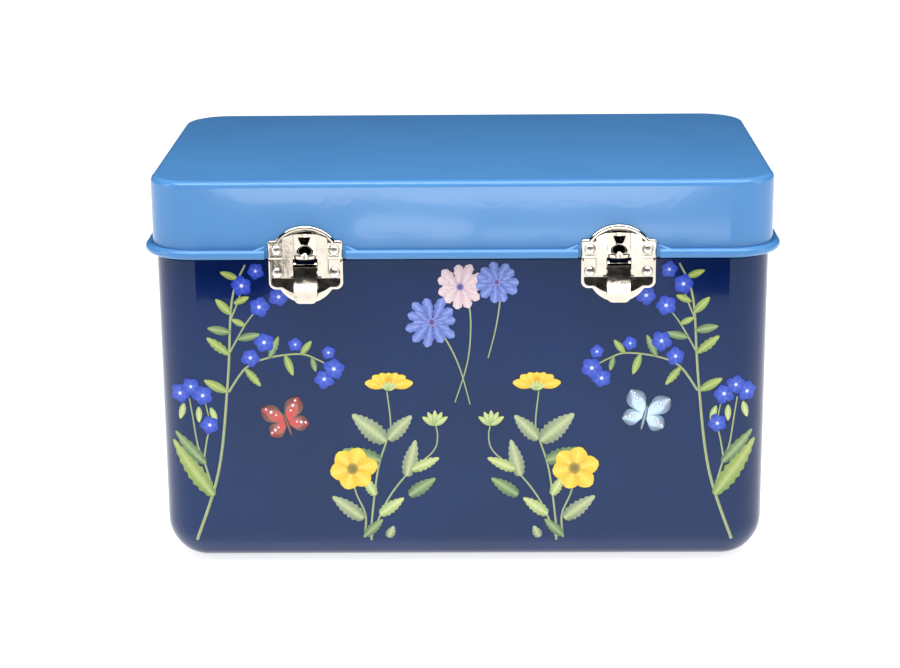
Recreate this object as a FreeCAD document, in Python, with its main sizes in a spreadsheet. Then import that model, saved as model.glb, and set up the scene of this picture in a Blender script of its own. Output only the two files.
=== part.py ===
import FreeCAD, Part
import math
import os
import re

import Sketcher

# A hinged tin box: a deep pressed-steel body, a shallow lid hinged along the back, and two draw
# latches on the front.  Millimetres; +Z up; the front faces -Y; the origin is the middle of the
# body's flat bottom.
#
# Small hardware is drawn in a frame of its own: x across the piece, -Y outward from the wall that
# it sits on, z the height above the ground.  Its Placement then carries it to the front or the back.

SIZES = {
    # shared
    "through": 20.0,
    "seam_overlap": 0.01,
    "half_turn_slack": 1.001,
    # lid
    "lid_width": 270.0,
    "lid_depth": 160.0,
    "lid_corner": 20.5,
    "lid_edge": 2.6,
    "total_height": 174.5,
    "sheet": 0.6,
    "bead_radius": 2.05,
    "bead_offset": 1.3,
    "bead_level": 143.0,
    # flattened stretches of the bead, under each latch and hinge
    "hem_thickness": 0.8,
    "hem_bottom": 141.3,
    "hem_top": 146.7,
    "hem_taper": 5.0,
    "latch_hem_half": 17.5,
    "hinge_hem_half": 19.0,
    # body
    "body_width": 266.4,
    "body_depth": 158.0,
    "body_corner": 18.4,
    "bottom_radius": 18.0,
    "shoulder_level": 139.9,
    "neck_step": 0.8,
    "rim_level": 153.9,
    "rim_hem_radius": 1.2,
    # rivets
    "rivet_radius": 1.1,
    "rivet_head_radius": 2.45,
    "rivet_head_height": 1.4,
    "rivet_tail_radius": 1.7,
    "rivet_tail_height": 0.35,
    # latches
    "latch_x": 67.0,
    "plate_half": 16.1,
    "plate_sheet": 0.8,
    "plate_rounding": 0.9,
    "plate_rim": 1.3,
    "base_rise": 1.9,
    "base_floor": 1.2,
    "base_slope_top": 132.3,
    "base_slope_bottom": 125.0,
    "base_top": 140.5,
    "base_corner_level": 130.5,
    "base_corner": 3.2,
    "base_ledge_half": 11.2,
    "base_bottom": 121.2,
    "base_rivet_x": 12.3,
    "base_rivet_level": 134.8,
    "slot_inner": 3.85,
    "slot_outer": 6.6,
    "slot_bottom": 132.5,
    "strip_top": 138.0,
    "catch_rise": 1.8,
    "catch_floor": 1.25,
    "catch_pad_half": 9.75,
    "catch_slope_top": 154.0,
    "catch_slope_bottom": 148.2,
    "catch_bottom": 140.8,
    "catch_shoulder_level": 149.2,
    "catch_corner": 1.3,
    "catch_arch_half": 12.8,
    "catch_top": 155.6,
    "catch_rivet_x": 12.3,
    "catch_rivet_level": 144.9,
    "nose_half": 4.7,
    "nose_reach": 2.4,
    "nose_level": 142.8,
    "lip_half": 4.75,
    "lip_reach": 2.5,
    "lip_bottom": 141.5,
    "pivot_out": 3.0,
    "pivot_level": 137.9,
    "yoke_pivot_out": 2.3,
    "yoke_pivot_level": 135.2,
    "latch_pin_radius": 0.7,
    "running_clearance": 0.05,
    "lug_inner": 3.1,
    "lug_sheet": 0.75,
    "lug_radius": 1.2,
    "lever_half": 4.9,
    "lever_sheet": 0.8,
    "lever_curl": 2.3,
    "lever_web_end": 38.0,
    "lever_face_radius": 150.0,
    "lever_tip_out": 6.1,
    "lever_tip_level": 122.3,
    "lever_flange_out": 5.2,
    "lever_flange_end": 127.4,
    "lever_back": 2.0,
    "lever_tip_corner": 2.4,
    "yoke_half": 9.65,
    "yoke_inner": 5.3,
    "yoke_inner_face": 3.1,
    "yoke_sheet": 0.9,
    "yoke_bottom": 133.9,
    "yoke_shoulder_level": 151.2,
    "yoke_top": 153.0,
    "yoke_corner": 1.5,
    "yoke_arch_level": 143.6,
    "yoke_arch_radius": 5.35,
    "yoke_bulge_half": 4.7,
    "yoke_bulge_rise": 2.5,
    "groove_half": 3.0,
    "groove_bottom": 147.4,
    "groove_top": 151.6,
    "groove_depth": 0.6,
    "yoke_ear_sheet": 0.8,
    "yoke_ear_radius": 1.3,
    # hinges
    "hinge_x": 75.0,
    "hinge_half": 15.0,
    "hinge_sheet": 1.0,
    "hinge_out": 4.2,
    "hinge_level": 140.9,
    "knuckle_radius": 2.1,
    "knuckle_gap": 0.25,
    "hinge_pin_radius": 1.0,
    "hinge_pin_head": 1.6,
    "hinge_pin_head_thickness": 0.8,
    "leaf_bottom": 118.9,
    "leaf_joggle_level": 134.4,
    "leaf_joggle_rise": 3.0,
    "leaf_top": 158.9,
    "leaf_cut": 2.6,
    "leaf_corner": 3.0,
    "leaf_rivet_x": 10.0,
    "body_leaf_rivet_level": 126.4,
    "lid_leaf_rivet_level": 152.4,
}

SIDES = {"left": -1, "right": 1}
KNUCKLES = 5

doc = FreeCAD.newDocument("hinged_tin")
sheet = doc.addObject("Spreadsheet::Sheet", "Sizes")
for row, (alias, number) in enumerate(SIZES.items(), start=1):
    sheet.set(f"A{row}", alias)
    sheet.set(f"B{row}", str(number))
    sheet.setAlias(f"B{row}", alias)
doc.recompute()

parts = []


# ---------------------------------------------------------------- expressions and sketches

def sized(text):
    """The text with every size's name made into a reference to its cell."""
    return re.sub(r"[a-z_]+", lambda word: "Sizes." + word.group() if word.group() in SIZES
                  else word.group(), text)


def value(text):
    return float(sheet.evalExpression(sized(text)))


def new_body(label):
    body = doc.addObject("PartDesign::Body", label)
    body.Label = label
    parts.append(body)
    return body


def sketch_on(body, name, role, offset="0"):
    """A sketch on one of the body's own origin planes, moved by offset along its normal."""
    plane = next(f for f in body.Origin.OriginFeatures if f.Role == role)
    sketch = body.newObject("Sketcher::SketchObject", name)
    sketch.AttachmentSupport = [(plane, "")]
    sketch.MapMode = "FlatFace"
    sketch.setExpression("AttachmentOffset.Base.z", sized(offset))
    return sketch


def sloped_sketch(body, name, low, high, outward):
    """A sketch that leans in toward the wall as it rises.  low and high are two points that its
    plane goes through, each a distance outward and a level.  Heights start at low's level."""
    sketch = sketch_on(body, name, "XZ_Plane", f"{outward} + {low[0]}")
    lean = f"-atan2(({low[0]}) - ({high[0]}); ({high[1]}) - ({low[1]}))"
    base = FreeCAD.Vector(0, value(low[1]), value(f"{outward} + {low[0]}"))
    turn = FreeCAD.Rotation(FreeCAD.Vector(1, 0, 0), value(lean))
    sketch.AttachmentOffset = FreeCAD.Placement(base, turn)
    sketch.setExpression("AttachmentOffset.Base.y", sized(low[1]))
    sketch.setExpression("AttachmentOffset.Rotation.Angle", sized(lean))
    return sketch


def pin_point(sketch, edge, end, x, y):
    """Hold one point of a sketch edge at x, y, given as expressions."""
    for kind, text in (("DistanceX", x), ("DistanceY", y)):
        index = sketch.addConstraint(Sketcher.Constraint(kind, -1, 1, edge, end, value(text)))
        sketch.setExpression(f"Constraints[{index}]", sized(text))


def arc_middle(start, end, radius, side):
    """The middle of the shorter arc from start to end; side +1 puts its centre to the left."""
    chord = end - start
    height = math.sqrt(max(radius ** 2 - (chord.Length / 2) ** 2, 0.0))
    normal = FreeCAD.Vector(-chord.y, chord.x, 0).normalize() * side
    return (start + end) / 2 + normal * (height - radius)


def outline(sketch, corners):
    """A closed outline.  Each corner is x, y and, where the edge to the next corner is round,
    that edge's radius and the side of its centre."""
    points = [FreeCAD.Vector(value(c[0]), value(c[1]), 0) for c in corners]
    first = len(sketch.Geometry)
    count = len(corners)
    for number, corner in enumerate(corners):
        start = points[number]
        end = points[(number + 1) % count]
        if len(corner) == 2:
            sketch.addGeometry(Part.LineSegment(start, end), False)
        else:
            middle = arc_middle(start, end, value(corner[2]), corner[3])
            sketch.addGeometry(Part.Arc(start, middle, end), False)
    for number, corner in enumerate(corners):
        here = first + number
        after = first + (number + 1) % count
        backwards = is_backwards(sketch, here, points[number])
        begin = 2 if backwards else 1
        next_start = 2 if is_backwards(sketch, after, points[(number + 1) % count]) else 1
        pin_point(sketch, here, begin, corner[0], corner[1])
        sketch.addConstraint(Sketcher.Constraint("Coincident", here, 3 - begin, after, next_start))
        if len(corner) > 2:
            index = sketch.addConstraint(Sketcher.Constraint("Radius", here, value(corner[2])))
            sketch.setExpression(f"Constraints[{index}]", sized(corner[2]))


def is_backwards(sketch, edge, start):
    return sketch.getPoint(edge, 1).distanceToPoint(start) > 1e-6


def rounded_rectangle(sketch, half_x, half_y, radius, x="0", y="0"):
    """A rectangle of the given half sizes about x, y with round corners."""
    corners = []
    for sign_x, sign_y in ((1, -1), (1, 1), (-1, 1), (-1, -1)):
        corner_x = f"{x} + {sign_x} * ({half_x})"
        corner_y = f"{y} + {sign_y} * ({half_y})"
        beside = (f"{corner_x} - {sign_x} * ({radius})", corner_y)
        below = (corner_x, f"{corner_y} - {sign_y} * ({radius})")
        pair = (beside, below) if sign_x * sign_y < 0 else (below, beside)
        corners.append((*pair[0], radius, 1))
        corners.append(pair[1])
    outline(sketch, corners)


def rectangle(sketch, left, bottom, right, top):
    outline(sketch, [(left, bottom), (right, bottom), (right, top), (left, top)])


def circle(sketch, x, y, radius):
    middle = FreeCAD.Vector(value(x), value(y), 0)
    edge = sketch.addGeometry(Part.Circle(middle, FreeCAD.Vector(0, 0, 1), value(radius)), False)
    pin_point(sketch, edge, 3, x, y)
    index = sketch.addConstraint(Sketcher.Constraint("Radius", edge, value(radius)))
    sketch.setExpression(f"Constraints[{index}]", sized(radius))


# ---------------------------------------------------------------- features

def extrude(body, kind, sketch, length, reverse=False, midplane=False):
    feature = body.newObject(f"PartDesign::{kind}", f"{kind}_{sketch.Name}")
    feature.Profile = sketch
    if midplane:
        feature.Midplane = True
    feature.Reversed = reverse
    feature.setExpression("Length", sized(length))
    sketch.Visibility = False
    before = volume_of(body, feature)
    doc.recompute()
    after = feature.Shape.Volume
    grows = kind == "Pad"
    if abs(after - before) < 1e-6 or (after > before) != grows:
        raise RuntimeError(f"{feature.Name} changed nothing")
    return feature


def volume_of(body, feature):
    base = feature.BaseFeature
    return base.Shape.Volume if base else 0.0


def pad(body, sketch, length, **options):
    return extrude(body, "Pad", sketch, length, **options)


def pocket(body, sketch, length, **options):
    return extrude(body, "Pocket", sketch, length, **options)


def edge_names(shape, wanted):
    return [f"Edge{i}" for i, edge in enumerate(shape.Edges, start=1) if wanted(edge)]


def round_edges(body, base, radius, wanted):
    names = edge_names(base.Shape, wanted)
    if not names:
        raise RuntimeError(f"no edge to round on {base.Name}")
    fillet = body.newObject("PartDesign::Fillet", f"Fillet_{base.Name}")
    fillet.Base = (base, names)
    fillet.setExpression("Radius", sized(radius))
    doc.recompute()
    return fillet


def level_edge(level):
    """Edges that lie flat at a height."""
    def wanted(edge):
        box = edge.BoundBox
        return abs(box.ZMin - level) < 1e-4 and abs(box.ZMax - level) < 1e-4
    return wanted


def front_edge(distance):
    """Edges that lie in the plane at a distance outward from the wall."""
    def wanted(edge):
        box = edge.BoundBox
        return abs(box.YMin + distance) < 1e-4 and abs(box.YMax + distance) < 1e-4
    return wanted


def put_on_front(piece, side):
    piece.setExpression("Placement.Base.x", sized(f"{SIDES[side]} * latch_x"))
    piece.setExpression("Placement.Base.y", sized("-body_depth / 2"))


def put_on_back(piece, side):
    piece.Placement.Rotation = FreeCAD.Rotation(FreeCAD.Vector(0, 0, 1), 180)
    piece.setExpression("Placement.Base.x", sized(f"{SIDES[side]} * hinge_x"))
    piece.setExpression("Placement.Base.y", sized("body_depth / 2"))


# ---------------------------------------------------------------- shells

def rivet_holes(body, name, across, level, spread, front):
    """A hole through the front or back wall for each rivet of the two fittings there."""
    holes = sketch_on(body, name, "XZ_Plane")
    for side in SIDES.values():
        for hand in (-1, 1):
            circle(holes, f"{side} * {spread} + {hand} * {across}", level, "rivet_radius")
    pocket(body, holes, "body_depth", reverse=front)


def make_body_shell():
    body = new_body("body_shell")
    plan = sketch_on(body, "body_plan", "XY_Plane")
    rounded_rectangle(plan, "body_width / 2", "body_depth / 2", "body_corner")
    block = pad(body, plan, "shoulder_level")
    block = round_edges(body, block, "bottom_radius", level_edge(0.0))
    hollow_out(body, block, "Z", value("shoulder_level"))
    # the wall steps in to a neck, which the lid's skirt goes round
    ring(body, "shoulder", "shoulder_level - sheet", "sheet", "0", "neck_step + sheet")
    ring(body, "neck", "shoulder_level", "rim_level - rim_hem_radius - shoulder_level",
         "neck_step", "neck_step + sheet")
    add_roll(body, "rim_hem", "body_width / 2 - neck_step - rim_hem_radius",
             "body_depth / 2 - neck_step - rim_hem_radius",
             "body_corner - neck_step - rim_hem_radius",
             "rim_level - rim_hem_radius", "rim_hem_radius")
    rivet_holes(body, "latch_rivet_holes", "base_rivet_x", "base_rivet_level", "latch_x", True)
    rivet_holes(body, "hinge_rivet_holes", "leaf_rivet_x", "body_leaf_rivet_level", "hinge_x",
                False)


def hollow_out(body, base, axis, place):
    """Hollow a solid to the sheet's thickness, open at its flat face at a place on an axis."""
    low, high = f"{axis}Min", f"{axis}Max"
    faces = [f"Face{i}" for i, face in enumerate(base.Shape.Faces, start=1)
             if abs(getattr(face.BoundBox, low) - place) < 1e-4
             and abs(getattr(face.BoundBox, high) - place) < 1e-4]
    shell = body.newObject("PartDesign::Thickness", f"Shell_{base.Name}")
    shell.Base = (base, faces)
    shell.Reversed = True
    shell.setExpression("Value", "Sizes.sheet")
    doc.recompute()
    return shell


def ring(body, name, level, height, outer_inset, inner_inset):
    """A band of wall between two insets from the body's outline."""
    sketch = sketch_on(body, f"{name}_plan", "XY_Plane", level)
    for inset in (outer_inset, inner_inset):
        rounded_rectangle(sketch, f"body_width / 2 - ({inset})", f"body_depth / 2 - ({inset})",
                          f"body_corner - ({inset})")
    return pad(body, sketch, height)


def add_roll(body, name, half_x, half_y, radius, level, roll_radius):
    """Sweep a round roll along a rounded rectangle: a wired or curled edge."""
    path = sketch_on(body, f"{name}_path", "XY_Plane", level)
    rounded_rectangle(path, half_x, half_y, radius)
    section = sketch_on(body, f"{name}_section", "YZ_Plane")
    circle(section, f"-({half_y})", level, roll_radius)
    doc.recompute()
    roll = body.newObject("PartDesign::AdditivePipe", name)
    roll.Profile = section
    roll.Spine = path
    roll.Mode = "Frenet"
    roll.Transition = "Transformed"
    doc.recompute()
    return roll


def make_lid_shell():
    body = new_body("lid_shell")
    plan = sketch_on(body, "lid_plan", "XY_Plane", "bead_level")
    rounded_rectangle(plan, "lid_width / 2", "lid_depth / 2", "lid_corner")
    block = pad(body, plan, "total_height - bead_level")
    block = round_edges(body, block, "lid_edge", level_edge(value("total_height")))
    hollow_out(body, block, "Z", value("bead_level"))
    add_roll(body, "bead", "lid_width / 2 + bead_offset", "lid_depth / 2 + bead_offset",
             "lid_corner + bead_offset", "bead_level", "bead_radius")
    for place, wall, spread, half in (("front", -1, "latch_x", "latch_hem_half"),
                                      ("back", 1, "hinge_x", "hinge_hem_half")):
        for hand in (-1, 1):
            flatten_bead(body, f"{place}_{'right' if hand > 0 else 'left'}", wall,
                         f"{hand} * {spread}", half)
    rivet_holes(body, "catch_rivet_holes", "catch_rivet_x", "catch_rivet_level", "latch_x", True)
    rivet_holes(body, "lid_leaf_rivet_holes", "leaf_rivet_x", "lid_leaf_rivet_level", "hinge_x",
                False)


def flatten_bead(body, name, wall, middle, half):
    """Press the bead flat against the front (wall -1) or back (wall 1) of the skirt."""
    skirt = f"{wall} * lid_depth / 2"
    inside = f"{skirt} - {wall} * 2 * sheet"
    beyond = f"{skirt} + {wall} * 4 * bead_radius"
    cut = sketch_on(body, f"bead_cut_{name}", "XY_Plane", "hem_bottom - bead_radius")
    near, far = (beyond, inside) if wall < 0 else (inside, beyond)
    rectangle(cut, f"{middle} - ({half})", near, f"{middle} + {half}", far)
    pocket(body, cut, "hem_top - hem_bottom + bead_radius", reverse=True)
    hem = sketch_on(body, f"hem_{name}", "XY_Plane", "hem_bottom")
    inner = f"{skirt} - {wall} * sheet"
    outer = f"{skirt} + {wall} * hem_thickness"
    near, far = (outer, inner) if wall < 0 else (inner, outer)
    rectangle(hem, f"{middle} - ({half})", near, f"{middle} + {half}", far)
    pad(body, hem, "hem_top - hem_bottom")
    for hand in (-1, 1):
        flat = sketch_on(body, f"taper_flat_{name}_{hand + 1}", "YZ_Plane",
                         f"{middle} + {hand} * ({half})")
        rounded_rectangle(flat, "(hem_thickness + sheet) / 2", "(hem_top - hem_bottom) / 2",
                          "0.45 * (hem_thickness + sheet)",
                          f"{skirt} + {wall} * (hem_thickness - sheet) / 2",
                          "(hem_top + hem_bottom) / 2")
        full = sketch_on(body, f"taper_full_{name}_{hand + 1}", "YZ_Plane",
                         f"{middle} + {hand} * ({half} + hem_taper)")
        rounded_rectangle(full, "bead_radius", "bead_radius", "0.95 * bead_radius",
                          f"{skirt} + {wall} * bead_offset", "bead_level")
        doc.recompute()
        taper = body.newObject("PartDesign::AdditiveLoft", f"taper_{name}_{hand + 1}")
        taper.Profile = flat
        taper.Sections = [full]
        doc.recompute()


# ---------------------------------------------------------------- latches

SKIRT_OUT = "(lid_depth - body_depth) / 2"
ARC_RADIUS = "(({0})^2 + ({1})^2) / (2 * ({1}))"


def rivet_seats(body, x, level):
    """Two holes for rivets, right through the plate."""
    holes = sketch_on(body, "rivet_seats", "XZ_Plane")
    for hand in (-1, 1):
        circle(holes, f"{hand} * {x}", level, "rivet_radius")
    pocket(body, holes, "through", reverse=True)


def side_hole(body, name, out, level, radius):
    """A hole along x, right through the piece."""
    hole = sketch_on(body, name, "YZ_Plane")
    circle(hole, f"-({out})", level, radius)
    pocket(body, hole, "4 * plate_half", midplane=True)


def make_base_plate(side):
    body = new_body(f"latch_base_plate_{side}")
    ledge = "(base_corner_level - base_corner)"
    face = sketch_on(body, "plate_face", "XZ_Plane")
    outline(face, [
        ("plate_half", "base_top"),
        ("-plate_half", "base_top"),
        ("-plate_half", "base_corner_level", "base_corner", 1),
        ("-(plate_half - base_corner)", ledge),
        ("-base_ledge_half", ledge, ARC_RADIUS.format("base_ledge_half", f"{ledge} - base_bottom"),
         1),
        ("base_ledge_half", ledge),
        ("plate_half - base_corner", ledge, "base_corner", 1),
        ("plate_half", "base_corner_level"),
    ])
    plate = pad(body, face, "base_rise")
    round_edges(body, plate, "plate_rounding", front_edge(value("base_rise")))
    flat = sketch_on(body, "rivet_floor", "XZ_Plane", "base_floor")
    rectangle(flat, "-(plate_half - plate_rim)", "base_slope_top", "plate_half - plate_rim",
              "base_top + 1")
    pocket(body, flat, "base_rise", reverse=True)
    dish = sloped_sketch(body, "dish", ("base_rise", "base_slope_bottom"),
                         ("base_floor", "base_slope_top"), "0")
    low = "base_slope_bottom"
    dish_half = "(base_ledge_half - 0.7 * plate_rim)"
    outline(dish, [
        ("plate_half - plate_rim", f"base_slope_top - {low} + seam_overlap"),
        ("-(plate_half - plate_rim)", f"base_slope_top - {low} + seam_overlap"),
        ("-(plate_half - plate_rim)", f"base_corner_level + 0.2 * plate_rim - {low}",
         "base_corner - 0.6 * plate_rim", 1),
        ("-(plate_half - base_corner)", f"{ledge} + plate_rim - {low}"),
        (f"-{dish_half}", f"{ledge} + plate_rim - {low}",
         ARC_RADIUS.format(dish_half, f"{ledge} + plate_rim - {low}"), 1),
        (dish_half, f"{ledge} + plate_rim - {low}"),
        ("plate_half - base_corner", f"{ledge} + plate_rim - {low}",
         "base_corner - 0.6 * plate_rim", 1),
        ("plate_half - plate_rim", f"base_corner_level + 0.2 * plate_rim - {low}"),
    ])
    pocket(body, dish, "base_rise", reverse=True)
    hollow = sketch_on(body, "hollow_back", "XZ_Plane")
    rectangle(hollow, "-(plate_half - 2 * plate_sheet)", "base_corner_level",
              "plate_half - 2 * plate_sheet", "base_top - 2 * plate_sheet")
    pocket(body, hollow, "base_floor - plate_sheet", reverse=True)
    window = sketch_on(body, "lever_window", "XZ_Plane")
    outline(window, [
        ("-slot_outer", "slot_bottom"),
        ("-slot_inner", "slot_bottom"),
        ("-slot_inner", "strip_top"),
        ("slot_inner", "strip_top"),
        ("slot_inner", "slot_bottom"),
        ("slot_outer", "slot_bottom"),
        ("slot_outer", "base_top + 1"),
        ("-slot_outer", "base_top + 1"),
    ])
    pocket(body, window, "through", reverse=True)
    for hand in (-1, 1):
        inner_side = "lug_inner" if hand > 0 else "-(lug_inner + lug_sheet)"
        lug = sketch_on(body, f"lug_{hand + 1}", "YZ_Plane", inner_side)
        root = "-(base_floor - plate_sheet)"
        outline(lug, [
            (root, "strip_top - 2 * lug_radius"),
            (root, "strip_top"),
            ("-(pivot_out - lug_radius)", "strip_top"),
            ("-(pivot_out - lug_radius)", "pivot_level", "lug_radius * half_turn_slack", 1),
            ("-pivot_out", "pivot_level + lug_radius", "lug_radius * half_turn_slack", 1),
            ("-pivot_out", "pivot_level - lug_radius"),
        ])
        pad(body, lug, "lug_sheet")
    side_hole(body, "pivot_hole", "pivot_out", "pivot_level", "latch_pin_radius")
    rivet_seats(body, "base_rivet_x", "base_rivet_level")
    put_on_front(body, side)


def make_catch_plate(side):
    body = new_body(f"latch_catch_plate_{side}")
    face = sketch_on(body, "plate_face", "XZ_Plane", SKIRT_OUT)
    rise = "catch_top - catch_shoulder_level"
    outline(face, [
        ("-plate_half", "catch_bottom"),
        ("plate_half", "catch_bottom"),
        ("plate_half", "catch_shoulder_level - catch_corner", "catch_corner", 1),
        ("plate_half - catch_corner", "catch_shoulder_level"),
        ("catch_arch_half", "catch_shoulder_level", ARC_RADIUS.format("catch_arch_half", rise), 1),
        ("-catch_arch_half", "catch_shoulder_level"),
        ("-(plate_half - catch_corner)", "catch_shoulder_level", "catch_corner", 1),
        ("-plate_half", "catch_shoulder_level - catch_corner"),
    ])
    plate = pad(body, face, "catch_rise")
    round_edges(body, plate, "plate_rounding", front_edge(value(f"{SKIRT_OUT} + catch_rise")))
    for hand in (-1, 1):
        floor = sketch_on(body, f"rivet_floor_{hand + 1}", "XZ_Plane",
                          f"{SKIRT_OUT} + catch_floor")
        rounded_rectangle(floor, "(plate_half - plate_rim - catch_pad_half) / 2",
                          "(catch_shoulder_level - catch_bottom) / 2 - plate_rim",
                          "catch_corner", f"{hand} * (plate_half - plate_rim + catch_pad_half) / 2",
                          "(catch_shoulder_level + catch_bottom) / 2")
        pocket(body, floor, "catch_rise", reverse=True)
    brow = sloped_sketch(body, "brow", ("catch_rise", "catch_slope_bottom"),
                         ("catch_floor", "catch_slope_top"), SKIRT_OUT)
    inner_half = "(catch_arch_half - plate_rim)"
    outline(brow, [
        (f"-{inner_half}", "seam_overlap"),
        (inner_half, "seam_overlap", ARC_RADIUS.format(inner_half, f"({rise} - 0.5)"), 1),
    ])
    pocket(body, brow, "catch_rise", reverse=True)
    seat = sketch_on(body, "hem_seat", "XZ_Plane", SKIRT_OUT)
    rectangle(seat, "-(plate_half + 1)", "catch_bottom - 1", "plate_half + 1", "hem_top + 0.1")
    pocket(body, seat, "hem_thickness", reverse=True)
    hollow = sketch_on(body, "hollow_back", "XZ_Plane", SKIRT_OUT)
    rectangle(hollow, "-(catch_arch_half - 2 * plate_sheet)", "hem_top",
              "catch_arch_half - 2 * plate_sheet", "catch_shoulder_level + 2 * plate_sheet")
    pocket(body, hollow, "catch_rise - plate_sheet", reverse=True)
    foot = f"-({SKIRT_OUT} + catch_rise)"
    buried = f"{foot} + plate_sheet / 2"
    dome = sketch_on(body, "nose_section", "XY_Plane", "nose_level")
    outline(dome, [
        ("0", buried),
        ("0", f"{foot} - nose_reach", ARC_RADIUS.format("nose_half", "nose_reach"), -1),
        ("nose_half", foot),
        ("nose_half", buried),
    ])
    doc.recompute()
    nose = body.newObject("PartDesign::Revolution", "nose")
    nose.Profile = dome
    nose.ReferenceAxis = (dome, ["V_Axis"])
    nose.Angle = 180
    doc.recompute()
    if not rises_above_lip(nose):
        nose.Reversed = True
        doc.recompute()
    lip = sketch_on(body, "lip_section", "XY_Plane", "lip_bottom")
    outline(lip, [
        ("-lip_half", buried),
        ("-lip_half", foot, ARC_RADIUS.format("lip_half", "lip_reach"), 1),
        ("lip_half", foot),
        ("lip_half", buried),
    ])
    pad(body, lip, "nose_level - lip_bottom")
    rivet_seats(body, "catch_rivet_x", "catch_rivet_level")
    put_on_front(body, side)


def rises_above_lip(nose):
    """Whether the quarter dome stands on the lip, not hangs below its top."""
    out = value(f"{SKIRT_OUT} + catch_rise + nose_reach / 2")
    probe = FreeCAD.Vector(0, -out, value("nose_level + nose_half / 2"))
    return nose.Shape.isInside(probe, 1e-6, True)


def make_lever(side):
    body = new_body(f"latch_lever_{side}")
    curl_front = "-(pivot_out + lever_curl)"
    profile = sketch_on(body, "side_profile", "YZ_Plane")
    outline(profile, [
        ("-pivot_out", "pivot_level + lever_curl", "lever_curl", 1),
        (curl_front, "pivot_level", "lever_face_radius", 1),
        ("-lever_tip_out", "lever_tip_level"),
        ("-(lever_tip_out - lever_sheet)", "lever_tip_level", "lever_face_radius - lever_sheet",
         -1),
        ("-lever_flange_out", "lever_flange_end"),
        ("-lever_back", "lever_flange_end + lever_flange_out - lever_back"),
        ("-lever_back", "yoke_pivot_level - 1.5 * yoke_ear_radius"),
        ("-(yoke_pivot_out - yoke_ear_radius)", "yoke_pivot_level - yoke_ear_radius / 2"),
        ("-(pivot_out - lever_curl)", "pivot_level", "lever_curl", 1),
    ])
    pad(body, profile, "2 * lever_half", midplane=True)
    web_out = "-(pivot_out + cos(lever_web_end) *"
    web_up = "pivot_level + sin(lever_web_end) *"
    channel = sketch_on(body, "channel", "YZ_Plane")
    outline(channel, [
        (f"{web_out} (lever_curl - lever_sheet))", f"{web_up} (lever_curl - lever_sheet)",
         "lever_curl - lever_sheet", 1),
        (f"{curl_front} + lever_sheet", "pivot_level", "lever_face_radius - lever_sheet", 1),
        ("-lever_flange_out", "lever_flange_end"),
        ("1", "lever_flange_end"),
        ("1", "pivot_level + 2 * lever_curl"),
        (f"{web_out} 1.4 * lever_curl)", "pivot_level + 2 * lever_curl"),
        (f"{web_out} 1.4 * lever_curl)", f"{web_up} 1.4 * lever_curl"),
    ])
    pocket(body, channel, "2 * (lever_half - lever_sheet)", midplane=True)
    tip = sketch_on(body, "tip_trim", "XZ_Plane")
    corner = "lever_tip_level + lever_tip_corner"
    outline(tip, [
        ("-(lever_half + 1)", "lever_tip_level - 1"),
        ("lever_half + 1", "lever_tip_level - 1"),
        ("lever_half + 1", corner),
        ("lever_half", corner, "lever_tip_corner", -1),
        ("lever_half - lever_tip_corner", "lever_tip_level"),
        ("-(lever_half - lever_tip_corner)", "lever_tip_level", "lever_tip_corner", -1),
        ("-lever_half", corner),
        ("-(lever_half + 1)", corner),
    ])
    pocket(body, tip, "through", reverse=True)
    side_hole(body, "pivot_hole", "pivot_out", "pivot_level",
              "latch_pin_radius + running_clearance")
    side_hole(body, "yoke_hole", "yoke_pivot_out", "yoke_pivot_level", "latch_pin_radius")
    put_on_front(body, side)


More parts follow.
